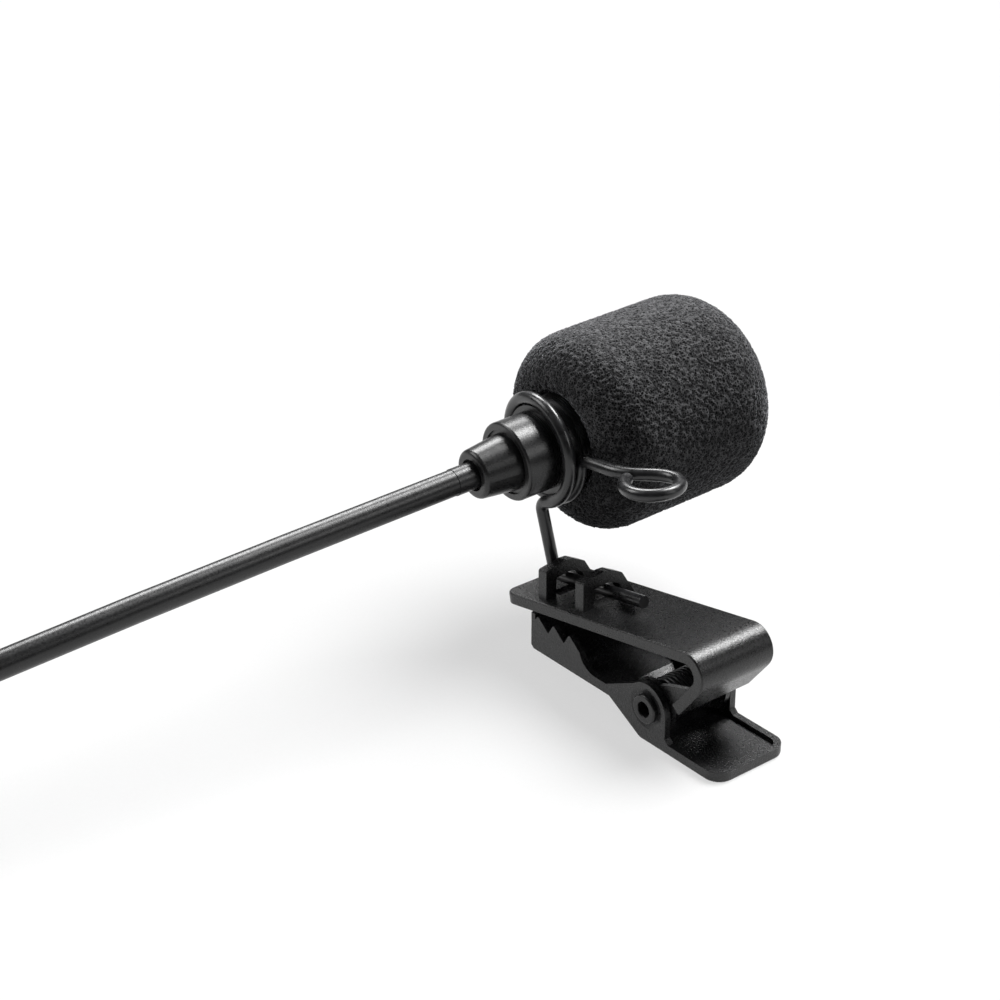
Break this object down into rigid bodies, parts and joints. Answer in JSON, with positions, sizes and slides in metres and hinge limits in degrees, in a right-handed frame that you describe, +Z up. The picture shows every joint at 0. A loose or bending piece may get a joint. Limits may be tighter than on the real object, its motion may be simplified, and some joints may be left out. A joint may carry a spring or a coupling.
{
  "type": "lavalier microphone",
  "caption": "Clip-on lavalier microphone with a removable foam windscreen, held by a bent wire on a sprung metal clip, with a coiled cable and a jack plug.",
  "frame": {"origin": "on the surface the clip stands on, straight under the jaw's pivot, on the clip's mid-plane", "axes": "+Z up; +X along the clip from its mouth to its thumb pad; +Y the way the microphone faces"},
  "size_m": [0.0428, 0.1945, 0.0326],
  "materials": {
    "satin_black_metal": "satin",
    "clip_black_metal": "satin",
    "spring_steel": "satin",
    "wire_black": "gloss",
    "foam": "matte",
    "cable_jacket": "satin",
    "boot_rubber": "satin",
    "black_plastic": "satin",
    "plated_contact": "polished",
    "insulator": "gloss",
    "capsule_can": "satin",
    "circuit_board": "satin",
    "lead_red": "satin",
    "lead_white": "satin",
    "mesh": "satin",
    "crimp_brass": "satin",
    "gasket": "matte"
  },
  "bodies": {
    "microphone": {"mic_barrel": "satin_black_metal", "mic_collar_ring": "satin_black_metal", "mic_head_tube": "satin_black_metal", "grille_cap": "satin_black_metal", "grille_mesh": "mesh", "capsule_gasket": "gasket", "electret_capsule": "capsule_can", "capsule_board": "circuit_board", "signal_lead": "lead_red", "ground_lead": "lead_white", "strain_relief_boot": "boot_rubber", "cable_stub": "cable_jacket", "cable_crimp": "crimp_brass", "cable_sleeve": "boot_rubber", "cable": "cable_jacket", "cable_coil": "cable_jacket", "cable_tie": "black_plastic", "plug_lead": "cable_jacket", "plug_strain_relief": "boot_rubber", "plug_barrel": "black_plastic", "plug_sleeve": "plated_contact", "plug_sleeve_insulator": "insulator", "plug_ring": "plated_contact", "plug_ring_insulator": "insulator", "plug_tip": "plated_contact"},
    "windscreen": {"foam_windscreen": "foam"},
    "holder": {"wire_holder": "wire_black"},
    "plate": {"clip_plate": "clip_black_metal", "torsion_spring": "spring_steel"},
    "jaw": {"clip_jaw": "clip_black_metal", "pivot_rivet": "clip_black_metal"}
  },
  "joints": [
    {"name": "windscreen_slide", "type": "slide", "parent": "microphone", "child": "windscreen", "axis": [0.0505, 0.9969, 0.0602], "range_m": [0, 0.025]},
    {"name": "wire_turn", "type": "hinge", "parent": "microphone", "child": "holder", "pos_m": [-0.0213, -0.0042, 0.021], "axis": [0.0505, 0.9969, 0.0602], "continuous": true},
    {"name": "clip_swivel", "type": "hinge", "parent": "holder", "child": "plate", "pos_m": [-0.0056, 0, 0.01095], "axis": [0.982, 0, 0.1891], "range_deg": [-50, 50]},
    {"name": "jaw_open", "type": "hinge", "parent": "plate", "child": "jaw", "pos_m": [0, 0, 0.00365], "axis": [0, -1, 0], "range_deg": [0, 25], "stiffness_Nm_per_rad": 0.03, "springref_deg": -28.65, "deforming": ["torsion_spring"]}
  ]
}
